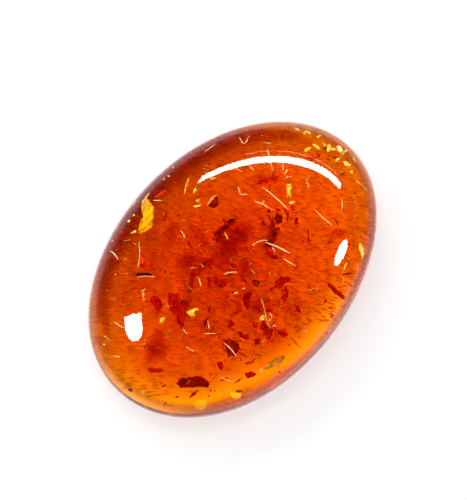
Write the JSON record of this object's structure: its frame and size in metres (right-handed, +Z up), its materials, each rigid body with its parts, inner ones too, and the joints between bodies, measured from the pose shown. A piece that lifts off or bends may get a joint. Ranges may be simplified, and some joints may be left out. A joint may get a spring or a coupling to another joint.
{
  "type": "amber cabochon with plant inclusions",
  "caption": "Oval polished amber cabochon, flat below and domed above, with plant scraps, gold flakes, a seed and fine hairs sealed inside.",
  "frame": {"origin": "centre of the flat face on which the stone rests", "axes": "+X along the stone's long axis, +Y across its width, +Z up through the dome"},
  "size_m": [0.04, 0.0282, 0.0095],
  "materials": {
    "amber": "polished clear orange amber",
    "dark_red_scrap": "dull dark red plant scrap",
    "light_red_scrap": "dull light red plant scrap",
    "black_scrap": "dull red-black plant scrap",
    "gold_scrap": "bright yellow resin flake",
    "seed_husk": "pale dry seed husk"
  },
  "bodies": {
    "root": {"amber_lower_half": "amber", "amber_upper_half": "amber", "leaf_scrap_left": "light_red_scrap", "leaf_scrap_soft": "light_red_scrap", "leaf_scrap_rim": "light_red_scrap", "leaf_scrap_orange": "light_red_scrap", "bark_bead_dark": "black_scrap", "bark_diamond_low": "black_scrap", "debris_clump": "black_scrap", "husk_seed": "black_scrap", "gold_leaf": "gold_scrap", "gold_spear": "gold_scrap", "gold_chip_left": "gold_scrap", "gold_chip_tall": "gold_scrap", "gold_chip_low": "gold_scrap", "gold_fork": "gold_scrap", "gold_rim_round": "gold_scrap", "gold_rim_green": "gold_scrap", "seed_capsule": "seed_husk", "leaf_scrap_large": "dark_red_scrap", "leaf_scrap_long": "dark_red_scrap", "leaf_fan": "dark_red_scrap", "leaf_fan_dark": "dark_red_scrap", "leaf_crescent": "dark_red_scrap", "leaf_plume": "dark_red_scrap", "leaf_star": "dark_red_scrap", "bark_chip_top": "dark_red_scrap", "bark_chip_high": "dark_red_scrap", "bark_chip_low": "dark_red_scrap", "bark_chip_thin": "dark_red_scrap", "bark_chip_square": "dark_red_scrap", "bark_bead": "dark_red_scrap", "bark_lobe_left": "dark_red_scrap", "bark_lobe_right": "dark_red_scrap", "bark_flake_folded": "dark_red_scrap", "bark_bar": "dark_red_scrap", "bark_cluster_left": "dark_red_scrap", "bark_cluster_near": "dark_red_scrap", "bark_cluster_right": "dark_red_scrap", "bark_diamond_mid": "dark_red_scrap", "bark_diamond_high": "dark_red_scrap", "bark_blob": "dark_red_scrap", "bark_lozenge": "dark_red_scrap", "bark_splinter": "dark_red_scrap", "splinter_right": "dark_red_scrap", "splinter_upright": "dark_red_scrap", "twig": "dark_red_scrap"}
  },
  "joints": []
}
